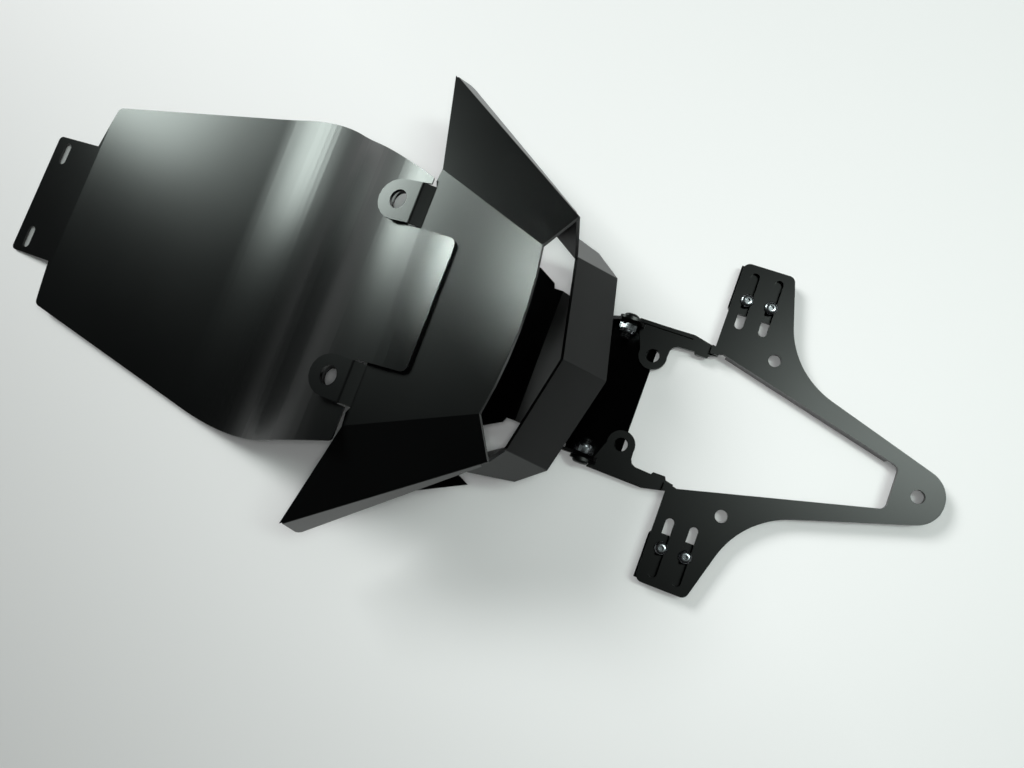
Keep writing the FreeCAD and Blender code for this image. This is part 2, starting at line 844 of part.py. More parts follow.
def arms(body):
    """Hanger arms: a strip with a round ear, a step up to the frame, a low rim and a bolt lug."""
    t = of("frame_thick")
    low = of("ear_top_z") - t
    joint_x = of("wing_plate_front_x") + of("joint_lap")
    neck_y = of("inner_front_y") - of("arm_neck_in")
    strip = new_sketch(body, "arm_lines", "XY_Plane", low)
    ears = new_sketch(body, "ear_lines", "XY_Plane", low)
    step = new_sketch(body, "joint_lines", "XY_Plane", low)
    rim = new_sketch(body, "arm_rim_lines", "XY_Plane", low)
    step_x = joint_x - of("joint_step")
    near, far = of("arm_out_y") - of("arm_lug_thick"), of("arm_out_y")
    front, rear = of("arm_strip_x") + of("arm_rim_gap"), of("arm_flange_end_x")
    for sign in (1, -1):
        polygon(strip, [(x, y * sign) for x, y in arm_outline(joint_x, neck_y)])
        circle(ears, of("ear_x"), of("ear_y") * sign, of("ear_r"))
        corners = [(joint_x, of("joint_y")), (step_x, of("joint_y") + 1)]
        corners += [(step_x, neck_y), (joint_x, neck_y)]
        polygon(step, [(x, y * sign) for x, y in corners])
        corners = [(front, near), (rear, near), (rear, far), (front, far)]
        polygon(rim, [(x, y * sign) for x, y in corners])
    pad(body, strip, "arm_pads", t)
    pad(body, ears, "ear_pads", t)
    pad(body, step, "joint_pads", of("frame_top_z") - low)
    pad(body, rim, "arm_rims", of("arm_low_top") - low)
    bolt_lugs(body, low)


def arm_outline(joint_x, neck_y):
    """Plan of the left arm: outer edge, ear flanks, a swept inner corner and a small bulge."""
    inner = of("arm_in_y")
    ear_front, ear_rear = of("ear_x") - of("ear_flank"), of("ear_x") + of("ear_flank")
    bulge_front, bulge_rear = of("bulge_x") - of("bulge_half"), of("bulge_x") + of("bulge_half")
    sweep, bulge = of("arm_sweep"), of("bulge_depth")
    return [
        (joint_x, of("joint_y")),
        (of("arm_flange_end_x"), of("arm_out_y") + of("arm_swell")),
        (of("arm_strip_x"), of("arm_out_y")),
        (ear_front, of("ear_y") + 1),
        (ear_rear, of("ear_y") + 1),
        (ear_rear + sweep * 0.08, inner - sweep),
        (ear_rear + sweep * 0.4, inner - sweep * 0.38),
        (ear_rear + sweep, inner - sweep * 0.05),
        (bulge_front, inner + bulge / 2),
        (bulge_front + bulge, inner - bulge),
        (bulge_rear - bulge, inner - bulge),
        (bulge_rear, inner + bulge),
        (joint_x, neck_y),
    ]


def bolt_lugs(body, low):
    """Upright lugs at the front of the arms, rounded about the side bolts."""
    lines = new_sketch(body, "arm_lug_lines", "XZ_Plane", -of("arm_lug_out"))
    reach, rise = of("arm_lug_r"), of("arm_lug_rise")
    foot_rear = of("arm_strip_x") + of("arm_lug_foot")
    points = [(of("bolt_x") - reach, low + 2), (of("arm_strip_x"), low), (foot_rear, low)]
    for turn in (10, 45, 75, 105, 135, 165):
        angle = math.radians(turn)
        x = of("bolt_x") + reach * math.cos(angle)
        points.append((x, of("bolt_z") + rise * math.sin(angle)))
    polygon(lines, points)
    left = pad(body, lines, "arm_lug_left", of("arm_lug_thick"))
    mirror = body.newObject("PartDesign::Mirrored", "arm_lug_right")
    mirror.Originals = [left]
    mirror.MirrorPlane = (plane_of(body, "XZ_Plane"), [""])
    body.Tip = mirror
    doc.recompute()
    bore = new_sketch(body, "arm_bolt_lines", "XZ_Plane")
    circle(bore, of("bolt_x"), of("bolt_z"), of("bolt_hole_r"))
    pocket(body, bore, "arm_bolt_holes")


# Base bracket: a bent strip under the deck, cut to its outline, with upright cheeks and side stays


def deck_underside(x):
    slope = of("deck_slope")
    fall = Size("cos(%s)" % slope.text, math.cos(math.radians(slope.value)))
    return deck_height(x) - of("cowl_thick") / fall - of("seat_gap")


def base_top():
    """The bracket's base plate lies just below the ears of the plate frame."""
    return of("ear_top_z") - of("frame_thick") - of("seat_gap")


def bracket_profile():
    body = new_body("bracket_profile")
    sketch = new_sketch(body, "bracket_lines", "XZ_Plane")
    lower = [
        (of("base_rear_x"), base_top()),
        (of("base_front_x"), base_top()),
        (of("shelf_rear_x"), of("shelf_z")),
        (of("shelf_front_x"), of("shelf_z")),
        (of("pad_rear_x"), deck_underside(of("pad_rear_x"))),
        (of("pad_front_x"), deck_underside(of("pad_front_x"))),
    ]
    numbers = [(x.value, y.value) for x, y in lower]
    t = of("bracket_thick")
    upper = offset_corners(numbers, t.value)
    polygon_open_band(sketch, lower, upper, t)
    pad(body, sketch, "bracket_pad", blank(of("stay_tip_y")), midplane=True)
    return body


def bracket_outline():
    body = new_body("bracket_outline")
    sketch = new_sketch(body, "bracket_plan", "XY_Plane")
    cheek_out = of("arm_lug_out") - of("arm_lug_thick") - of("seat_gap")
    half = [
        (of("base_rear_x"), of("base_rear_y")),
        (of("cheek_rear_x"), cheek_out),
        (of("base_front_x") - 3, cheek_out),
        (of("base_front_x") - 3, of("web_half")),
        (of("shelf_corner_x") + 1, of("web_half")),
        (of("shelf_corner_x"), of("shelf_corner_y")),
        (of("shelf_side_x"), of("shelf_side_y")),
        (of("stay_rear_x"), of("shelf_side_y")),
        (of("stay_rear_x"), of("stay_neck_y")),
        (of("stay_heel_x"), of("stay_heel_y")),
        (of("stay_tip_x"), of("stay_tip_y")),
        (of("stay_front_x"), of("shelf_side_y")),
        (of("shelf_front_x"), of("pad_half")),
        (of("pad_front_x") - 3, of("pad_half")),
    ]
    polygon(sketch, half + [flip(p) for p in reversed(half)])
    pad(body, sketch, "bracket_prism", blank(of("deck_z")))
    return body


def build_base_bracket():
    profile, outline = bracket_profile(), bracket_outline()
    strip = doc.addObject("Part::MultiCommon", "bracket_strip")
    strip.Shapes = [profile, outline]
    doc.recompute()
    t = mm("bracket_thick")
    outer = mm("arm_lug_out") - mm("arm_lug_thick") - mm("seat_gap")
    low = base_top().value - t
    step_x = mm("arm_strip_x") - mm("cheek_gap")
    step_z = mm("ear_top_z") + mm("cheek_gap")
    cheeks = []
    for sign in (1, -1):
        corners = [
            Vector(mm("cheek_front_x"), sign * outer, low),
            Vector(step_x, sign * outer, low),
            Vector(step_x, sign * outer, step_z),
            Vector(mm("cheek_rear_x"), sign * outer, mm("cheek_rear_low_z")),
            Vector(mm("cheek_rear_x"), sign * outer, mm("cheek_top_z")),
            Vector(mm("bolt_x") - mm("cheek_corner_r"), sign * outer, mm("cheek_top_z")),
            Vector(mm("cheek_front_x"), sign * outer, mm("cheek_front_z")),
        ]
        face = Part.Face(Part.makePolygon(corners + corners[:1]))
        solid = face.extrude(Vector(0, -sign * t, 0))
        tops = []
        for edge in solid.Edges:
            ends = [v.Point for v in edge.Vertexes]
            if all(abs(p.z - mm("cheek_top_z")) + abs(p.x - mm("cheek_rear_x")) < 0.02 for p in ends):
                tops.append(edge)
        cheeks.append(solid.makeFillet(mm("cheek_corner_r"), tops))
    side = Vector(mm("bolt_x"), -mm("arm_out_y"), mm("bolt_z"))
    bore = Part.makeCylinder(mm("bolt_hole_r"), 2 * mm("arm_out_y"), side, Vector(0, 1, 0))
    whole = strip.Shape.fuse(cheeks).removeSplitter().cut(bore)
    bracket = doc.addObject("Part::Feature", "base_bracket")
    bracket.Label = "base_bracket"
    bracket.Shape = whole.Solids[0] if len(whole.Solids) == 1 else whole
    return bracket


# Adaptor plates under the slotted wings


def build_adaptor(name, sign):
    body = new_body(name)
    t = of("adaptor_thick")
    top = of("frame_top_z") - of("frame_thick") - of("seat_gap")
    sketch = new_sketch(body, name + "_lines", "XY_Plane", top - t)
    front, rear = of("adaptor_front_x"), of("adaptor_rear_x")
    near, far = of("adaptor_in_y") * sign, of("adaptor_out_y") * sign
    corners = [(front, near), (rear, near), (rear, far), (front, far)]
    polygon(sketch, corners)
    for number in (0, 1):
        x = of("slot_front_x") + of("slot_pitch") * number
        circle(sketch, x, of("screw_y") * sign, of("screw_hole_r"))
    base = pad(body, sketch, name + "_pad", t)
    rounded(body, base, name + "_corners", at(corners[0], corners[1]), of("adaptor_corner_r"))
    lip = new_sketch(body, name + "_lip_lines", "XY_Plane", of("adaptor_lip_low"))
    edge = (of("adaptor_out_y") - t) * sign
    points = [(front + 3, edge), (rear - 3, edge), (rear - 3, far), (front + 3, far)]
    polygon(lip, points)
    pad(body, lip, name + "_lip", top - t - of("adaptor_lip_low") + 0.5)
    return body


# Fasteners


def hexagon(across, tall):
    """A hexagonal prism that stands on the origin."""
    radius = across / math.sqrt(3)
    points = []
    for i in range(7):
        turn = math.radians(60 * i)
        points.append(Vector(radius * math.cos(turn), radius * math.sin(turn), 0))
    return Part.Face(Part.makePolygon(points)).extrude(Vector(0, 0, tall))


def aimed(shape, seat, axis):
    """The shape turned so that its upright axis follows the given one, then moved to its seat."""
    shape.Placement = Placement(seat, Rotation(Vector(0, 0, 1), axis))
    return shape


def button_bolt(shank_r, length, head_r, head_tall, socket):
    """A round-headed bolt: the head stands on the origin, the shank hangs below."""
    rim, bevel = head_tall * 0.3, shank_r * 0.4
    crown = Part.makeCone(head_r, head_r * 0.6, head_tall - rim, Vector(0, 0, rim))
    head = Part.makeCylinder(head_r, rim).fuse(crown)
    tip = Part.makeCone(shank_r * 0.75, shank_r, bevel, Vector(0, 0, -length))
    shank = Part.makeCylinder(shank_r, length - bevel, Vector(0, 0, bevel - length))
    well = hexagon(socket, head_tall)
    well.translate(Vector(0, 0, rim))
    return head.fuse([shank, tip]).removeSplitter().cut(well)


def nut(across, tall, hole_r):
    """A hexagonal nut standing on the origin, with its upper corners turned down."""
    body = hexagon(across, tall)
    cone = Part.makeCone(across / 2 + tall, across / 2 - 0.05, tall + 0.05)
    body = body.common(cone)
    return body.cut(Part.makeCylinder(hole_r, tall * 3, Vector(0, 0, -tall)))


def group(name, solids):
    node = doc.addObject("Part::Feature", name)
    node.Label = name
    node.Shape = Part.makeCompound(solids)
    return node


def screw_spots():
    spots = []
    for sign in (1, -1):
        for number in (0, 1):
            x = mm("slot_front_x") + mm("slot_pitch") * number
            spots.append(Vector(x, sign * mm("screw_y"), 0))
    return spots


def build_fasteners():
    up = Vector(0, 0, 1)
    top = Vector(0, 0, mm("frame_top_z"))
    length = mm("frame_top_z") - mm("screw_end_z")
    sizes = (mm("screw_r"), length, mm("screw_head_r"), mm("screw_head_tall"), mm("screw_socket"))
    screws = [aimed(button_bolt(*sizes), s + top, up) for s in screw_spots()]
    gap = mm("seat_gap")
    seat_z = mm("frame_top_z") - mm("frame_thick") - mm("adaptor_thick") - 2 * gap
    low = Vector(0, 0, seat_z)
    bore = mm("screw_r") + gap
    small = (mm("small_nut_across"), mm("small_nut_tall"), bore)
    nuts = [aimed(nut(*small), s + low, -up) for s in screw_spots()]
    bolts, lock_nuts = [], []
    for sign in (1, -1):
        axis = Vector(0, sign, 0)
        seat = Vector(mm("bolt_x"), sign * mm("arm_lug_out"), mm("bolt_z"))
        length = mm("arm_lug_out") - mm("bolt_end_y")
        sizes = (mm("bolt_r"), length, mm("bolt_head_r"), mm("bolt_head_tall"), mm("bolt_socket"))
        bolts.append(aimed(button_bolt(*sizes), seat, axis))
        inner = mm("arm_lug_out") - mm("arm_lug_thick") - mm("bracket_thick") - 2 * gap
        nut_seat = Vector(mm("bolt_x"), sign * inner, mm("bolt_z"))
        large = (mm("lock_nut_across"), mm("lock_nut_tall"), mm("bolt_r") + gap)
        lock_nuts.append(aimed(nut(*large), nut_seat, -axis))
    return [
        group("indicator_screws", screws),
        group("indicator_nuts", nuts),
        group("pivot_bolts", bolts),
        group("pivot_nuts", lock_nuts),
    ]


# Placement, checks and export


def settle(node):
    """Puts the middle of the whole length over the origin."""
    shift = of("nose_end_x") / 2
    node.Placement = Placement(Vector(-shift.value, 0, 0), Rotation())
    node.setExpression(".Placement.Base.x", "0 - " + shift.text)


def export(nodes):
    doc.recompute()
    for item in doc.Objects:
        if "Invalid" in item.State or "Error" in item.State:
            raise RuntimeError("%s did not compute" % item.Name)
    for node in nodes:
        shape = node.Shape
        if shape.isNull() or not shape.isValid():
            raise RuntimeError("bad shape: " + node.Label)
        shape.exportStep("parts/%s.step" % node.Label)
        box = shape.BoundBox
        print(
            node.Label,
            "solids %d" % len(shape.Solids),
            "x %.1f..%.1f y %.1f..%.1f z %.2f..%.2f"
            % (box.XMin, box.XMax, box.YMin, box.YMax, box.ZMin, box.ZMax),
        )


nodes = [
    build_front_panel(),
    build_rear_cowl(),
    build_base_bracket(),
    build_plate_frame(),
    build_adaptor("indicator_plate_left", 1),
    build_adaptor("indicator_plate_right", -1),
]
nodes += build_fasteners()
for node in nodes:
    settle(node)
export(nodes)
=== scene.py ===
# %% [markdown]
# A tail bracket of folded black sheet lies on a pale table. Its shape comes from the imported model,
# so this lesson loads that model first and only adds what shapes alone can't say: finishes,
# rounded edges, threads and the light of the room. Every length is in metres, in the model's own
# frame, apart from the fasteners' own sizes, which are in millimetres as on a drawing.

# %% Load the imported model
import math

import bpy
import bmesh
from mathutils import Matrix, Vector


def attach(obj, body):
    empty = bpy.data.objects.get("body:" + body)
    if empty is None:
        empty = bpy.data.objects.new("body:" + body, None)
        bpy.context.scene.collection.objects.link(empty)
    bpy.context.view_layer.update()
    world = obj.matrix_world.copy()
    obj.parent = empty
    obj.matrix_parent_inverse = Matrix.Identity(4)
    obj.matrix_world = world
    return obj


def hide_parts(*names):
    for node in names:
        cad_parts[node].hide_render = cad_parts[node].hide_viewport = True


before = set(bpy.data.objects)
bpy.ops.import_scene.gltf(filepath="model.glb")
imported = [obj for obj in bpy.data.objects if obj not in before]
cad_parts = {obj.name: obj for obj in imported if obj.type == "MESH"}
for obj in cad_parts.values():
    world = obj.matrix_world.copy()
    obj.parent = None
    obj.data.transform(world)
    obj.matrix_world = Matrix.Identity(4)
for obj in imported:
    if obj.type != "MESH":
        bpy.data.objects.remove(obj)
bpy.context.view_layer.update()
print("nodes", sorted(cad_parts))

# %% [markdown]
# The camera stands almost straight above the bracket and is turned by about twenty degrees, so
# the long side runs across the frame from upper left to lower right. Its place and its three
# directions were worked out from the bracket's own right angles and parallel edges. A camera
# matrix can be written column by column: right, up and back.

# %% Camera
CAMERA_PLACE = Vector((0.14184, -0.05977, 0.47841))
CAMERA_RIGHT = Vector((0.92687, 0.34899, -0.13828))
CAMERA_UP = Vector((-0.32908, 0.93263, 0.14800))
SENSOR_WIDTH = 36.0
FOCAL_SHARE = 816 / 1024  # the focal length as a share of the picture's width
NEAR_CLIP = 0.01


def make_camera():
    data = bpy.data.cameras.new("camera")
    data.sensor_width = SENSOR_WIDTH
    data.lens = SENSOR_WIDTH * FOCAL_SHARE
    data.clip_start = NEAR_CLIP
    camera = bpy.data.objects.new("camera", data)
    bpy.context.scene.collection.objects.link(camera)
    right = CAMERA_RIGHT.normalized()
    back = right.cross(CAMERA_UP).normalized()
    up = back.cross(right)
    turn = Matrix((right, up, back)).transposed()
    camera.matrix_world = Matrix.Translation(CAMERA_PLACE) @ turn.to_4x4()
    bpy.context.scene.camera = camera
    return camera


camera = make_camera()
bpy.context.scene.view_settings.view_transform = "Standard"
print("lens", round(camera.data.lens, 2), "mm")

# %% [markdown]
# Finishes, lamps and repeated parts all need node trees. Writing each Math node by hand hides the
# formula, so one class wraps a socket and lets Python's own signs add the nodes. One method makes
# any other node from its type, its settings and its inputs, and serves every kind of tree.

# %% Node helpers
MIX_FIRST_COLOUR, MIX_SECOND_COLOUR, MIX_COLOUR_OUT = 6, 7, 2


class Wire:
    """A value socket inside a node tree. The signs + - * / add Math nodes."""

    def __init__(self, graph, socket):
        self.graph = graph
        self.socket = socket

    def sign(self, operation, first, second):
        node = self.graph.node("ShaderNodeMath", {"operation": operation}, {0: first, 1: second})
        return Wire(self.graph, node.outputs[0])

    def __add__(self, other):
        return self.sign("ADD", self, other)

    def __radd__(self, other):
        return self.sign("ADD", other, self)

    def __sub__(self, other):
        return self.sign("SUBTRACT", self, other)

    def __rsub__(self, other):
        return self.sign("SUBTRACT", other, self)

    def __mul__(self, other):
        return self.sign("MULTIPLY", self, other)

    def __rmul__(self, other):
        return self.sign("MULTIPLY", other, self)

    def __truediv__(self, other):
        return self.sign("DIVIDE", self, other)

    def __rtruediv__(self, other):
        return self.sign("DIVIDE", other, self)


class Graph:
    """Any node tree under construction."""

    def __init__(self, tree):
        self.tree = tree

    def node(self, kind, settings=None, inputs=None):
        """Any node. The settings go first, because they can change which inputs there are."""
        made = self.tree.nodes.new(kind)
        for key, value in (settings or {}).items():
            setattr(made, key, value)
        for key, value in (inputs or {}).items():
            self.give(made.inputs[key], value)
        return made

    def give(self, socket, value):
        """A number or a link goes to the socket. A list gives several links to one socket."""
        for item in value if isinstance(value, list) else [value]:
            if isinstance(item, Wire):
                item = item.socket
            if isinstance(item, bpy.types.NodeSocket):
                self.tree.links.new(item, socket)
            else:
                socket.default_value = item


class Shader(Graph):
    """A material under construction."""

    def __init__(self, name):
        self.material = bpy.data.materials.new(name)
        self.material.use_nodes = True
        super().__init__(self.material.node_tree)
        self.surface = self.tree.nodes["Principled BSDF"]
        self.place = self.node("ShaderNodeTexCoord").outputs["Object"]

    def noise(self, scale, detail=2.0):
        """Smooth random values around a half. A larger scale makes smaller clouds."""
        inputs = {"Vector": self.place, "Scale": scale, "Detail": detail}
        return Wire(self, self.node("ShaderNodeTexNoise", None, inputs).outputs["Fac"])

    def set(self, **values):
        """Values for the surface, with _ for the blanks in an input's name."""
        for key, value in values.items():
            self.give(self.surface.inputs[key.replace("_", " ")], value)

    def blend(self, mask, first, second):
        """The first colour where the mask is nought, the second where it is one."""
        inputs = {"Factor": mask, MIX_FIRST_COLOUR: first, MIX_SECOND_COLOUR: second}
        made = self.node("ShaderNodeMix", {"data_type": "RGBA"}, inputs)
        return made.outputs[MIX_COLOUR_OUT]

    def bump(self, height, distance, strength):
        """Tilts the light on the surface as heights of that distance would."""
        inputs = {"Height": height, "Distance": distance, "Strength": strength}
        made = self.node("ShaderNodeBump", None, inputs)
        self.give(self.surface.inputs["Normal"], made.outputs["Normal"])


print("helpers", Wire.__name__, Graph.__name__, Shader.__name__)

# %% [markdown]
# The table is a plain pale board, a little darker toward the lower left, where the light of the
# room falls off. A clamped slope over its own two directions does that. It is wide enough to
# reach past every picture taken from above.

# %% Table
TABLE_LIGHT = (0.88, 0.90, 0.89, 1.0)
TABLE_DARK = (0.50, 0.51, 0.50, 1.0)
TABLE_HALF = 6.0
TABLE_ROUGHNESS = 0.55
DARKER_ACROSS, DARKER_ALONG, DARKER_START = -0.9, -1.3, 0.1
GRAIN_SCALE, GRAIN_DETAIL, GRAIN_HEIGHT, GRAIN_STRENGTH = 60.0, 4.0, 0.0001, 0.1


def make_table():
    shader = Shader("table_board")
    place = shader.node("ShaderNodeSeparateXYZ", None, {0: shader.place}).outputs
    across = Wire(shader, place["X"]) * DARKER_ACROSS
    along = Wire(shader, place["Y"]) * DARKER_ALONG
    clamp = shader.node("ShaderNodeClamp", None, {"Value": across + along + DARKER_START})
    mask = Wire(shader, clamp.outputs[0])
    shader.set(Base_Color=shader.blend(mask, TABLE_LIGHT, TABLE_DARK), Roughness=TABLE_ROUGHNESS)
    shader.bump(shader.noise(GRAIN_SCALE, GRAIN_DETAIL), GRAIN_HEIGHT, GRAIN_STRENGTH)
    half = TABLE_HALF
    corners = [(-half, -half, 0), (half, -half, 0), (half, half, 0), (-half, half, 0)]
    mesh = bpy.data.meshes.new("table")
    mesh.from_pydata(corners, [], [(0, 1, 2, 3)])
    mesh.materials.append(shader.material)
    board = bpy.data.objects.new("table", mesh)
    bpy.context.scene.collection.objects.link(board)
    return board


table = make_table()
print("table", 2 * TABLE_HALF, "m wide")

# %% [markdown]
# The sheet is coated with a satin black powder: baked plastic dust that flows together but keeps
# a very fine orange peel. It mirrors the window as a soft band. So the colour is almost black,
# the roughness is low with slow changes, and the bump is two fine noises.

# %% Black powder coat
COAT_DARK = (0.0014, 0.0014, 0.0016, 1.0)
COAT_LIGHT = (0.0026, 0.0026, 0.0029, 1.0)
COAT_ROUGHNESS, COAT_ROUGHNESS_RANGE = 0.31, 0.05
SLOW_SCALE, SLOW_DETAIL = 14.0, 3.0
PEEL_SCALE, PEEL_SHARE = 900.0, 0.7
GRIT_SCALE, GRIT_SHARE = 3200.0, 0.3
PEEL_HEIGHT, PEEL_STRENGTH = 0.00001, 0.5


def make_coat():
    coat = Shader("black_powder_coat")
    slow = coat.noise(SLOW_SCALE, SLOW_DETAIL)
    peel = coat.noise(PEEL_SCALE, 1.0)
    grit = coat.noise(GRIT_SCALE, 1.0)
    smoothest = COAT_ROUGHNESS - COAT_ROUGHNESS_RANGE / 2
    coat.set(Base_Color=coat.blend(slow, COAT_DARK, COAT_LIGHT))
    coat.set(Roughness=slow * COAT_ROUGHNESS_RANGE + smoothest)
    coat.bump(peel * PEEL_SHARE + grit * GRIT_SHARE, PEEL_HEIGHT, PEEL_STRENGTH)
    return coat.material


coat_material = make_coat()
print("coat roughness about", COAT_ROUGHNESS)

# %% [markdown]
# The small screws and the lock nuts are bright zinc plated steel. Zinc is a soft grey mirror with
# a faint cloudiness, so the colour is set high, the roughness moves a little, and nothing else is
# needed.

# %% Bright zinc
ZINC_COLOUR = (0.62, 0.64, 0.67, 1.0)
ZINC_CLOUD = (0.48, 0.50, 0.54, 1.0)
ZINC_ROUGHNESS, ZINC_ROUGHNESS_RANGE = 0.2, 0.14
ZINC_CLOUD_SCALE, ZINC_CLOUD_DETAIL = 420.0, 3.0
ZINC_GRAIN_SCALE, ZINC_GRAIN_HEIGHT, ZINC_GRAIN_STRENGTH = 2600.0, 0.00001, 0.5


def make_zinc():
    zinc = Shader("bright_zinc")
    cloud = zinc.noise(ZINC_CLOUD_SCALE, ZINC_CLOUD_DETAIL)
    zinc.set(Base_Color=zinc.blend(cloud, ZINC_COLOUR, ZINC_CLOUD), Metallic=1.0)
    zinc.set(Roughness=cloud * ZINC_ROUGHNESS_RANGE + ZINC_ROUGHNESS)
    zinc.bump(zinc.noise(ZINC_GRAIN_SCALE), ZINC_GRAIN_HEIGHT, ZINC_GRAIN_STRENGTH)
    return zinc.material


zinc_material = make_zinc()
print("zinc roughness from", ZINC_ROUGHNESS, "to", ZINC_ROUGHNESS + ZINC_ROUGHNESS_RANGE)

# %% [markdown]
# The side bolts are black all over, a thin oxide on steel. It takes the light a little more than
# the coat does and is rougher in places, so it gets a finish of its own.

# %% Black oxide
OXIDE_COLOUR = (0.012, 0.012, 0.013, 1.0)
OXIDE_METAL = 0.4
OXIDE_ROUGHNESS, OXIDE_ROUGHNESS_RANGE = 0.28, 0.12
MOTTLE_SCALE, MOTTLE_DETAIL, MOTTLE_HEIGHT, MOTTLE_STRENGTH = 700.0, 3.0, 0.00002, 0.4


def make_oxide():
    oxide = Shader("black_oxide")
    mottle = oxide.noise(MOTTLE_SCALE, MOTTLE_DETAIL)
    oxide.set(Base_Color=OXIDE_COLOUR, Metallic=OXIDE_METAL)
    oxide.set(Roughness=mottle * OXIDE_ROUGHNESS_RANGE + OXIDE_ROUGHNESS)
    oxide.bump(mottle, MOTTLE_HEIGHT, MOTTLE_STRENGTH)
    return oxide.material


oxide_material = make_oxide()
print("oxide roughness from", OXIDE_ROUGHNESS, "to", OXIDE_ROUGHNESS + OXIDE_ROUGHNESS_RANGE)

# %% [markdown]
# A cut and folded sheet has no knife-sharp corner: the coat builds up on the edge and catches the
# light as a thin line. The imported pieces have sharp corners, so each is copied, its loose
# triangles are merged back into flat faces, and a narrow bevel goes round every corner. The plate
# frame is thicker and gets a wider one. Weighted normals then let the wide flat faces stay flat
# and keep all the turning of the light within the bends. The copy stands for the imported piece.

# %% Rounded sheet edges
EDGE_WIDTH = 0.00035
FRAME_EDGE_WIDTH = 0.0008
EDGE_SEGMENTS = 3
MERGE_DISTANCE = 1e-6
FLAT_ANGLE = math.radians(0.5)
CORNER_ANGLE = math.radians(30)
SHEET_NODES = (
    "front_panel",
    "rear_cowl",
    "base_bracket",
    "plate_frame",
    "indicator_plate_left",
    "indicator_plate_right",
)


def merged_copy(node):
    """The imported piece's mesh with whole flat faces instead of loose triangles."""
    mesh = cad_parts[node].data.copy()
    work = bmesh.new()
    work.from_mesh(mesh)
    bmesh.ops.remove_doubles(work, verts=work.verts, dist=MERGE_DISTANCE)
    bmesh.ops.dissolve_limit(
        work,
        angle_limit=FLAT_ANGLE,
        verts=work.verts,
        edges=work.edges,
        use_dissolve_boundaries=False,
    )
    work.to_mesh(mesh)
    work.free()
    mesh.materials.clear()
    return mesh


def baked(item, name):
    """The item with its modifiers worked in, as a plain mesh object at the origin."""
    graph = bpy.context.evaluated_depsgraph_get()
    mesh = bpy.data.meshes.new_from_object(item.evaluated_get(graph))
    bpy.data.objects.remove(item)
    piece = bpy.data.objects.new(name, mesh)
    bpy.context.scene.collection.objects.link(piece)
    return piece


def edged_sheet(node):
    mesh = merged_copy(node)
    mesh.materials.append(coat_material)
    mesh.shade_smooth()
    mesh.set_sharp_from_angle(angle=CORNER_ANGLE)
    item = bpy.data.objects.new(node + "_work", mesh)
    bpy.context.scene.collection.objects.link(item)
    bevel = item.modifiers.new("edge", "BEVEL")
    bevel.width = FRAME_EDGE_WIDTH if node == "plate_frame" else EDGE_WIDTH
    bevel.segments = EDGE_SEGMENTS
    bevel.limit_method = "ANGLE"
    bevel.angle_limit = CORNER_ANGLE
    bevel.harden_normals = True
    weighted = item.modifiers.new("normals", "WEIGHTED_NORMAL")
    weighted.keep_sharp = True
    piece = baked(item, node + "_sheet")
    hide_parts(node)
    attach(piece, "root")
    return piece


sheets = {}
for sheet_node in SHEET_NODES:
    sheets[sheet_node] = edged_sheet(sheet_node)
    print(sheet_node, "faces", len(sheets[sheet_node].data.polygons))

# %% [markdown]
# Every screw, bolt and nut is turned from bar, so one function makes them all: rings stacked
# along the axis and joined by faces. Where a form is hexagonal, the ring follows the hexagon, and
# where it is both, as at the chamfered corners of a nut, it takes the smaller of circle and
# hexagon. That gives the curved chamfer lines of a real nut for nothing. A ring is written as its
# height, its round radius and half its width across the flats, in millimetres.
#
# A screw's outline goes from its domed tip up the shank, under the head and over its dome into
# the hexagon socket. A nut's goes up its outside, over the collar if it has one, and down inside.

# %% Turned bodies
RING_POINTS = 48
MILLIMETRES = 1000  # in a metre
HEXAGON_TURN = math.pi / 3
TIP_OUTLINE = [(0.0, 0.35), (0.12, 0.7), (0.4, 0.93), (0.8, 1.0)]  # rise, share of the radius
THREAD_ROOT = 0.9  # the shank below the thread's ridge, as a share of its radius
HEAD_SINK = 0.05  # how far the head's underside lies below its seat
HEAD_EDGE, HEAD_FOOT = 0.12, 0.94  # the rounded edge under the head: its height and its share
HEAD_RIM = 0.22  # the upright rim, as a share of the head's height
DOME_SHARES = (0.25, 0.5, 0.7, 0.85, 0.95)
SOCKET_LIP = 1.12  # the socket's rounded mouth, as a share of its corner radius
SOCKET_CHAMFER, SOCKET_WIDEN = 0.12, 1.04
SOCKET_FLOOR = 0.3  # as a share of the head's height
NUT_FOOT, NUT_FOOT_CHAMFER = 0.97, 0.35
NUT_CHAMFER, NUT_CHAMFER_MID = 0.75, 0.4
NUT_TOP = 0.98
HOLE_CHAMFER = 0.3


def ring_points(height, round_radius, flats):
    """The points of one ring. Either the radius or the hexagon's flats may be None."""
    points = []
    for step in range(RING_POINTS):
        turn = 2 * math.pi * step / RING_POINTS
        reach = []
        if round_radius is not None:
            reach.append(round_radius)
        if flats is not None:
            reach.append(flats / math.cos(turn % HEXAGON_TURN - HEXAGON_TURN / 2))
        radius = min(reach)
        point = Vector((radius * math.cos(turn), radius * math.sin(turn), height))
        points.append(point / MILLIMETRES)
    return points


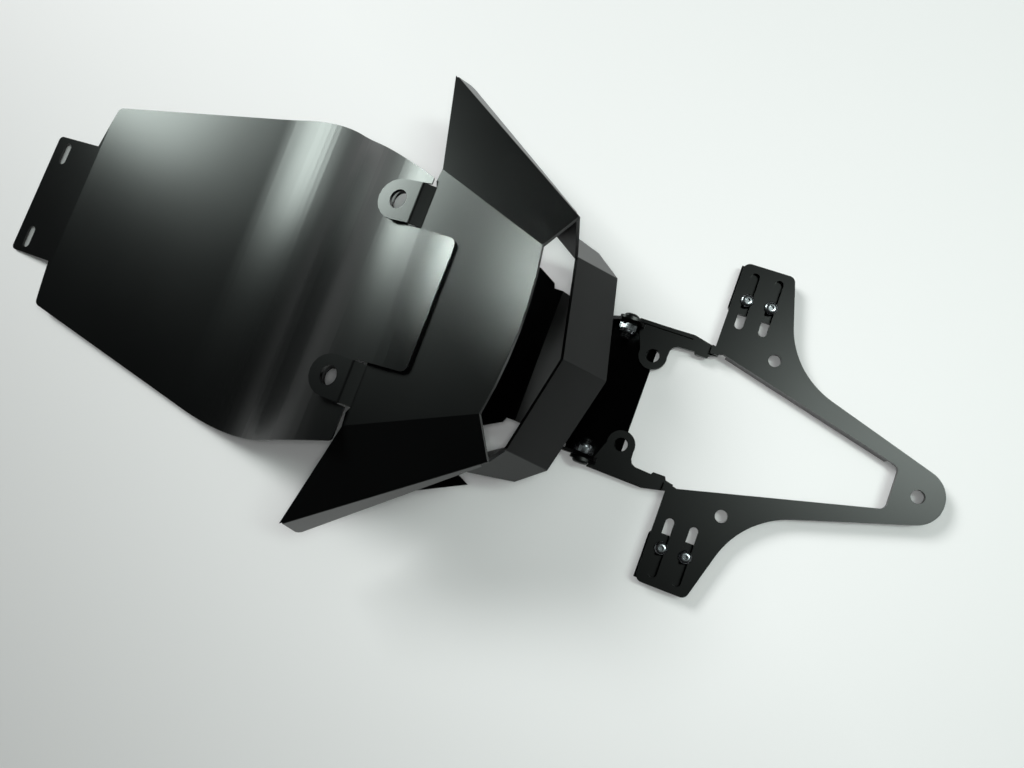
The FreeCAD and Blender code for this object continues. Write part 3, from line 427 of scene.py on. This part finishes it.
def turned(name, rings, hollow=False):
    """A closed body from rings along its outline. A hollow one joins its last to its first."""
    work = bmesh.new()
    loops = [[work.verts.new(p) for p in ring_points(*ring)] for ring in rings]
    pairs = list(zip(loops, loops[1:])) + ([(loops[-1], loops[0])] if hollow else [])
    for below, above in pairs:
        for step in range(RING_POINTS):
            ahead = (step + 1) % RING_POINTS
            work.faces.new((below[step], below[ahead], above[ahead], above[step]))
    if not hollow:
        work.faces.new(reversed(loops[0]))
        work.faces.new(loops[-1])
    bmesh.ops.recalc_face_normals(work, faces=work.faces)
    mesh = bpy.data.meshes.new(name)
    work.to_mesh(mesh)
    work.free()
    mesh.shade_smooth()
    mesh.set_sharp_from_angle(angle=CORNER_ANGLE)
    body = bpy.data.objects.new(name, mesh)
    bpy.context.scene.collection.objects.link(body)
    return body


def domed_screw(name, shank_r, length, head_r, head_tall, socket):
    """A button head with a hexagon socket on a round shank with a domed tip."""
    thin = shank_r * THREAD_ROOT
    lip = socket / math.sqrt(3) * SOCKET_LIP
    rings = [(rise - length, thin * share, None) for rise, share in TIP_OUTLINE]
    rings += [(-HEAD_SINK, thin, None), (-HEAD_SINK, head_r * HEAD_FOOT, None)]
    rings += [(HEAD_EDGE, head_r, None), (head_tall * HEAD_RIM, head_r, None)]
    for share in DOME_SHARES:
        turn = share * math.pi / 2
        lift = head_tall * (HEAD_RIM + (1 - HEAD_RIM) * math.sin(turn))
        rings.append((lift, head_r - (head_r - lip) * (1 - math.cos(turn)), None))
    flats = socket / 2
    rings += [(head_tall, lip, None), (head_tall, None, flats * SOCKET_WIDEN)]
    rings += [(head_tall - SOCKET_CHAMFER, None, flats), (head_tall * SOCKET_FLOOR, None, flats)]
    return turned(name, rings)


def hexagon_nut(name, across, tall, hole_r, collar):
    """A nut with chamfered corners and, above the hexagon, a round collar of that height."""
    half = across / 2
    corner = half * 2 / math.sqrt(3)
    body = tall - collar
    rings = [(0, hole_r, None), (0, half * NUT_FOOT, None), (NUT_FOOT_CHAMFER, corner, half)]
    rings += [(body - NUT_CHAMFER, corner, half)]
    rings += [(body - NUT_CHAMFER_MID, corner * NUT_FOOT, half), (body, half * NUT_TOP, half)]
    if collar:
        outline = [(body + 0.05, 0.9), (body + collar * 0.6, 0.88), (tall - 0.2, 0.84)]
        outline += [(tall, 0.76), (tall, 0.72), (tall - 0.5, 0.71)]
        rings += [(height, half * share, None) for height, share in outline]
        rings += [(tall - 0.5, hole_r, None)]
    else:
        rings += [(body, hole_r + HOLE_CHAMFER, None), (body - HOLE_CHAMFER, hole_r, None)]
    return turned(name, rings, hollow=True)


print("rings of", RING_POINTS, "points")

# %% [markdown]
# The same screw sits in four places, the same bolt and lock nut in two. A Geometry Nodes tree
# puts a body on every point of a small mesh, points it along its own axis and spins it by a
# seeded random turn, as a hand and a key leave it. For a threaded part the tree also winds the
# thread: a spiral with a three-sided profile, which is what a thread is.

# %% Fastener tree
FASTENER_INPUTS = {
    "Body": "NodeSocketObject",
    "Finish": "NodeSocketMaterial",
    "Axis": "NodeSocketVector",
    "Axis From Place": "NodeSocketVector",
    "Seed": "NodeSocketInt",
    "Thread Radius": "NodeSocketFloat",
    "Thread Pitch": "NodeSocketFloat",
    "Thread Length": "NodeSocketFloat",
    "Thread End": "NodeSocketFloat",
}
TURN_STEPS = 24
THREAD_SIDES = 3


def make_fastener_tree(name, threaded):
    """The tree and the identifiers of its named inputs."""
    tree = bpy.data.node_groups.new(name, "GeometryNodeTree")
    tree.interface.new_socket("Geometry", in_out="INPUT", socket_type="NodeSocketGeometry")
    keys = {}
    for label, kind in FASTENER_INPUTS.items():
        made = tree.interface.new_socket(label, in_out="INPUT", socket_type=kind)
        keys[label] = made.identifier
    tree.interface.new_socket("Geometry", in_out="OUTPUT", socket_type="NodeSocketGeometry")
    graph = Graph(tree)
    given = graph.node("NodeGroupInput").outputs
    source = graph.node("GeometryNodeObjectInfo", None, {"Object": given["Body"]})
    solid = source.outputs["Geometry"]
    if threaded:
        solid = wound_thread(graph, given, solid)
    place = graph.node("GeometryNodeInputPosition").outputs[0]
    share = {0: place, 1: given["Axis From Place"], 2: given["Axis"]}
    axis = graph.node("ShaderNodeVectorMath", {"operation": "MULTIPLY_ADD"}, share).outputs[0]
    aimed = graph.node("FunctionNodeAlignRotationToVector", {"axis": "Z"}, {"Vector": axis})
    chance = graph.node("FunctionNodeRandomValue", {"data_type": "FLOAT"}, {"Seed": given["Seed"]})
    chance.inputs["Max"].default_value = HEXAGON_TURN
    spun = graph.node("ShaderNodeCombineXYZ", None, {"Z": chance.outputs["Value"]})
    spin = graph.node("FunctionNodeEulerToRotation", None, {0: spun.outputs[0]})
    both = {"Rotation": aimed.outputs[0], "Rotate By": spin.outputs[0]}
    turn = graph.node("FunctionNodeRotateRotation", {"rotation_space": "LOCAL"}, both)
    inputs = {"Points": given["Geometry"], "Instance": solid, "Rotation": turn.outputs[0]}
    placed = graph.node("GeometryNodeInstanceOnPoints", None, inputs).outputs[0]
    real = graph.node("GeometryNodeRealizeInstances", None, {0: placed}).outputs[0]
    inputs = {"Geometry": real, "Material": given["Finish"]}
    finished = graph.node("GeometryNodeSetMaterial", None, inputs).outputs[0]
    graph.node("NodeGroupOutput", None, {0: finished})
    return tree, keys


def wound_thread(graph, given, solid):
    """Joins a spiral ridge to the body, from the thread's end upward."""
    length, pitch = Wire(graph, given["Thread Length"]), Wire(graph, given["Thread Pitch"])
    inputs = {"Resolution": TURN_STEPS, "Rotations": length / pitch}
    inputs.update({"Start Radius": given["Thread Radius"], "End Radius": given["Thread Radius"]})
    inputs["Height"] = length
    spiral = graph.node("GeometryNodeCurveSpiral", None, inputs).outputs[0]
    inputs = {"Resolution": THREAD_SIDES, "Radius": pitch * 0.5}
    profile = graph.node("GeometryNodeCurvePrimitiveCircle", None, inputs).outputs[0]
    inputs = {"Curve": spiral, "Profile Curve": profile, "Fill Caps": True}
    ridge = graph.node("GeometryNodeCurveToMesh", None, inputs).outputs[0]
    down = graph.node("ShaderNodeCombineXYZ", None, {"Z": given["Thread End"]}).outputs[0]
    inputs = {"Geometry": ridge, "Translation": down}
    moved = graph.node("GeometryNodeTransform", None, inputs).outputs[0]
    return graph.node("GeometryNodeJoinGeometry", None, {0: [solid, moved]}).outputs[0]


threaded_tree = make_fastener_tree("threaded_fasteners", True)
plain_tree = make_fastener_tree("plain_fasteners", False)
print("tree inputs", list(FASTENER_INPUTS))

# %% [markdown]
# Each kind of fastener is one call: its places, its body and its inputs. The places are the packed
# model's own seats. The modifier's inputs are set by identifier before anything is evaluated, then
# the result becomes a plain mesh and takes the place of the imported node.

# %% Seats
SCREW_X = (166.7, 180.5)
SCREW_Y = 74.4
PLATE_TOP, NUT_SEAT = 9.5, 3.3
BOLT_X, BOLT_Z = 108.0, 10.2
BOLT_SEAT_Y, LOCK_SEAT_Y = 43.9, 39.7
screw_places = [(x, y * SCREW_Y) for x in SCREW_X for y in (1, -1)]
screw_seats = [(x, y, PLATE_TOP) for x, y in screw_places]
nut_seats = [(x, y, NUT_SEAT) for x, y in screw_places]
bolt_seats = [(BOLT_X, y * BOLT_SEAT_Y, BOLT_Z) for y in (1, -1)]
lock_seats = [(BOLT_X, y * LOCK_SEAT_Y, BOLT_Z) for y in (1, -1)]
UPWARD, DOWNWARD, NO_AXIS = (0.0, 0.0, 1.0), (0.0, 0.0, -1.0), (0.0, 0.0, 0.0)
OUTWARD, INWARD = (0.0, 1.0, 0.0), (0.0, -1.0, 0.0)


def place_fasteners(name, node, seats, body, tree, values):
    group, keys = tree
    mesh = bpy.data.meshes.new(name + "_seats")
    mesh.from_pydata([Vector(seat) / MILLIMETRES for seat in seats], [], [])
    item = bpy.data.objects.new(name + "_work", mesh)
    bpy.context.scene.collection.objects.link(item)
    modifier = item.modifiers.new("fasteners", "NODES")
    modifier.node_group = group
    for label, value in {"Body": body, **values}.items():
        modifier[keys[label]] = value
    piece = baked(item, name)
    bpy.data.objects.remove(body)
    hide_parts(node)
    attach(piece, "root")
    print(name, "faces", len(piece.data.polygons))


print("seats", len(screw_seats), len(nut_seats), len(bolt_seats), len(lock_seats))

# %% [markdown]
# In each wing, two small button-head screws go through a slot and clamp the plate below. Their
# thread climbs 0.7 mm with each turn. A larger black bolt goes through each hanger arm from
# outside, so its axis follows from the side that it sits on.

# %% Slot screws and side bolts
m4 = {
    "Finish": zinc_material,
    "Axis": UPWARD,
    "Axis From Place": NO_AXIS,
    "Seed": 4,
    "Thread Radius": 0.00177,
    "Thread Pitch": 0.0007,
    "Thread Length": 0.0049,
    "Thread End": -0.0085,
}
screw = domed_screw("screw_body", shank_r=2.0, length=8.9, head_r=3.8, head_tall=2.2, socket=2.5)
place_fasteners("slot_screws", "indicator_screws", screw_seats, screw, threaded_tree, m4)

m6 = {
    "Finish": oxide_material,
    "Axis": NO_AXIS,
    "Axis From Place": OUTWARD,
    "Seed": 7,
    "Thread Radius": 0.00265,
    "Thread Pitch": 0.001,
    "Thread Length": 0.009,
    "Thread End": -0.0126,
}
bolt = domed_screw("bolt_body", shank_r=3.0, length=13.3, head_r=4.6, head_tall=2.0, socket=4.0)
place_fasteners("side_bolts", "pivot_bolts", bolt_seats, bolt, threaded_tree, m6)

# %% [markdown]
# A thin nut sits under each small screw and faces down. A bright lock nut holds each side bolt
# from within. Nuts need no thread that anyone could see, so they use the plain tree.

# %% Nuts
plain = {"Finish": zinc_material, "Axis": DOWNWARD, "Axis From Place": NO_AXIS, "Seed": 2}
small_nut = hexagon_nut("small_nut_body", across=7.0, tall=2.4, hole_r=2.1, collar=0)
place_fasteners("slot_nuts", "indicator_nuts", nut_seats, small_nut, plain_tree, plain)

lock = {"Finish": zinc_material, "Axis": NO_AXIS, "Axis From Place": INWARD, "Seed": 5}
lock_nut = hexagon_nut("lock_nut_body", across=10.0, tall=5.6, hole_r=3.1, collar=1.5)
place_fasteners("lock_nuts", "pivot_nuts", lock_seats, lock_nut, plain_tree, lock)

# %% [markdown]
# A lock nut grips by a nylon ring pressed into its collar. The ring is dark and matt beside the
# zinc, so it is a body of its own with its own finish, placed by the same tree.

# %% Nylon rings
NYLON_DARK = (0.03, 0.035, 0.045, 1.0)
NYLON_LIGHT = (0.05, 0.055, 0.065, 1.0)
NYLON_ROUGHNESS, NYLON_ROUGHNESS_RANGE = 0.45, 0.2
NYLON_SCALE = 500.0


def make_nylon():
    nylon = Shader("dark_nylon")
    cloud = nylon.noise(NYLON_SCALE)
    nylon.set(Base_Color=nylon.blend(cloud, NYLON_DARK, NYLON_LIGHT))
    nylon.set(Roughness=cloud * NYLON_ROUGHNESS_RANGE + NYLON_ROUGHNESS)
    return nylon.material


lock["Finish"] = make_nylon()
ring_outline = [(5.05, 3.1), (5.05, 3.52), (5.4, 3.5), (5.45, 3.3), (5.4, 3.1)]
ring_rings = [(height, radius, None) for height, radius in ring_outline]
ring = turned("nylon_body", ring_rings, hollow=True)
place_fasteners("nylon_rings", "pivot_nuts", lock_seats, ring, plain_tree, lock)

# %% [markdown]
# A lamp here is a rectangle of even brightness, as a real soft box is, so its brightness is given
# and its power follows from its size. Each lamp can be told which pieces it lights. One kind has
# a grid in front, which keeps its beam narrow.

# %% Lamp helpers
LAMP_TINT = (0.88, 1.0, 0.94)
GRID_TURN, GRID_RISE = math.radians(164), math.radians(46)
GRID_DISTANCE = 0.95
GRID_SIZE = (0.06, 0.06)
DOWN = Vector((0, 0, -1))


def make_lamp(name, place, aim, size, radiance):
    """A rectangular lamp. The power gives the wanted brightness whatever the size."""
    data = bpy.data.lights.new(name, "AREA")
    data.shape = "RECTANGLE"
    data.size, data.size_y = size
    data.energy = radiance * math.pi * size[0] * size[1]
    lamp = bpy.data.objects.new(name, data)
    bpy.context.scene.collection.objects.link(lamp)
    lamp.location = place
    lamp.rotation_mode = "QUATERNION"
    lamp.rotation_quaternion = (aim - place).to_track_quat("-Z", "Y")
    lamp.visible_camera = False
    return lamp


def limit_light(lamp, things, state):
    """Says that the lamp lights only the given things, or everything but them."""
    shined = bpy.data.collections.new(lamp.name + "_receivers")
    for thing in things:
        shined.objects.link(thing)
    lamp.light_linking.receiver_collection = shined
    for entry in shined.collection_objects:
        entry.light_linking.link_state = state


def make_grid_lamp(name, aim, radiance, spread, receiver):
    """A small soft box with a grid. A grid bundles the light, which the power makes up for."""
    out = Vector((math.cos(GRID_TURN), math.sin(GRID_TURN), math.tan(GRID_RISE))).normalized()
    rise = math.tan(spread / 2)
    bundling = rise / (rise - spread / 2)
    lamp = make_lamp(name, aim + out * GRID_DISTANCE, aim, GRID_SIZE, radiance / bundling)
    lamp.data.spread = spread
    lamp.data.color = LAMP_TINT
    limit_light(lamp, [receiver], "INCLUDE")
    print(name, "bundles its light", round(bundling), "times")


# %% [markdown]
# Black satin metal shows mostly what it mirrors, so the lamps are placed by the reflections seen
# on it. A small upright soft box close to the left end makes the bands on the panel: being close,
# it fades fast toward the far side. Two more, higher up and behind a grid, reach only the tongue
# and the rear of the deck. A long lamp overhead, out past the nose, makes the plate frame grey.

# %% Lamps for the metal
SIDE_TURN = math.radians(162.5)
SIDE_DISTANCE = 0.45
SIDE_SHIFT = -0.092
SIDE_WIDTH = 0.235
SIDE_LOW, SIDE_HIGH = 0.135, 0.307
SIDE_RADIANCE = 20.5
NOSE_PLACE = Vector((0.795, 0.315, 1.50))
NOSE_SIZE = (0.75, 0.20)
NOSE_RADIANCE = 17.5
DECK_AIM = Vector((0.080, 0.040, 0.094))
DECK_RADIANCE, DECK_SPREAD = 780.0, math.radians(5.6)
TONGUE_AIM = Vector((0.022, 0.046, 0.089))
TONGUE_RADIANCE, TONGUE_SPREAD = 1250.0, math.radians(6.2)

side_out = Vector((math.cos(SIDE_TURN), math.sin(SIDE_TURN), 0))
side_along = Vector((-side_out.y, side_out.x, 0))
side_place = side_out * SIDE_DISTANCE + side_along * SIDE_SHIFT
side_place.z = (SIDE_LOW + SIDE_HIGH) / 2
side_size = (SIDE_WIDTH, SIDE_HIGH - SIDE_LOW)
side_lamp = make_lamp("side_lamp", side_place, side_place - side_out, side_size, SIDE_RADIANCE)
side_lamp.data.color = LAMP_TINT
limit_light(side_lamp, [table], "EXCLUDE")
print("side lamp at", [round(v, 3) for v in side_place])

nose_lamp = make_lamp("nose_lamp", NOSE_PLACE, NOSE_PLACE + DOWN, NOSE_SIZE, NOSE_RADIANCE)
nose_lamp.rotation_quaternion = (1, 0, 0, 0)  # straight down, with the long side along X
nose_lamp.data.color = LAMP_TINT
limit_light(nose_lamp, [sheets["base_bracket"]], "EXCLUDE")

make_grid_lamp("deck_lamp", DECK_AIM, DECK_RADIANCE, DECK_SPREAD, sheets["rear_cowl"])
make_grid_lamp("tongue_lamp", TONGUE_AIM, TONGUE_RADIANCE, TONGUE_SPREAD, sheets["front_panel"])

# %% [markdown]
# The table gets soft lights of its own, because lamps wide enough to light it evenly would also
# turn the black metal grey. One of them sits at the camera, so that the table also shows pale
# through the holes.

# %% Lamps for the table
CEILING_PLACE, CEILING_AIM = Vector((0.5, 0.5, 1.7)), Vector((0.5, 0.2, 0))
CEILING_SIZE = (1.8, 1.8)
CEILING_RADIANCE = 0.6
FAR_PLACE, FAR_AIM = Vector((-1.8, 1.0, 1.9)), Vector((0.15, -0.05, 0))
FAR_SIZE = (1.0, 1.0)
FAR_RADIANCE = 16.5
NEAR_SIZE = (0.04, 0.04)
NEAR_RADIANCE = 95.0

table_lamps = [
    make_lamp("ceiling_lamp", CEILING_PLACE, CEILING_AIM, CEILING_SIZE, CEILING_RADIANCE),
    make_lamp("far_lamp", FAR_PLACE, FAR_AIM, FAR_SIZE, FAR_RADIANCE),
    make_lamp("near_lamp", CAMERA_PLACE, CAMERA_PLACE + DOWN, NEAR_SIZE, NEAR_RADIANCE),
]
for table_lamp in table_lamps:
    limit_light(table_lamp, [table], "INCLUDE")
    print(table_lamp.name, round(table_lamp.data.energy, 2), "W")

# %% [markdown]
# The room itself gives a weak even light, so that no shadow is quite black. What the metal
# mirrors of it is darker still, as the walls of a dim workshop would be.

# %% Room
ROOM_LEVEL = 0.06
ROOM_MIRRORED = 0.012

world = bpy.data.worlds.new("room")
world.use_nodes = True
room = Graph(world.node_tree)
mirrored = Wire(room, room.node("ShaderNodeLightPath").outputs["Is Glossy Ray"])
background = world.node_tree.nodes["Background"]
background.inputs["Color"].default_value = (1.0, 1.0, 1.0, 1.0)
room.give(background.inputs["Strength"], ROOM_LEVEL - mirrored * (ROOM_LEVEL - ROOM_MIRRORED))
bpy.context.scene.world = world
print("room", ROOM_LEVEL, "mirrored", ROOM_MIRRORED)
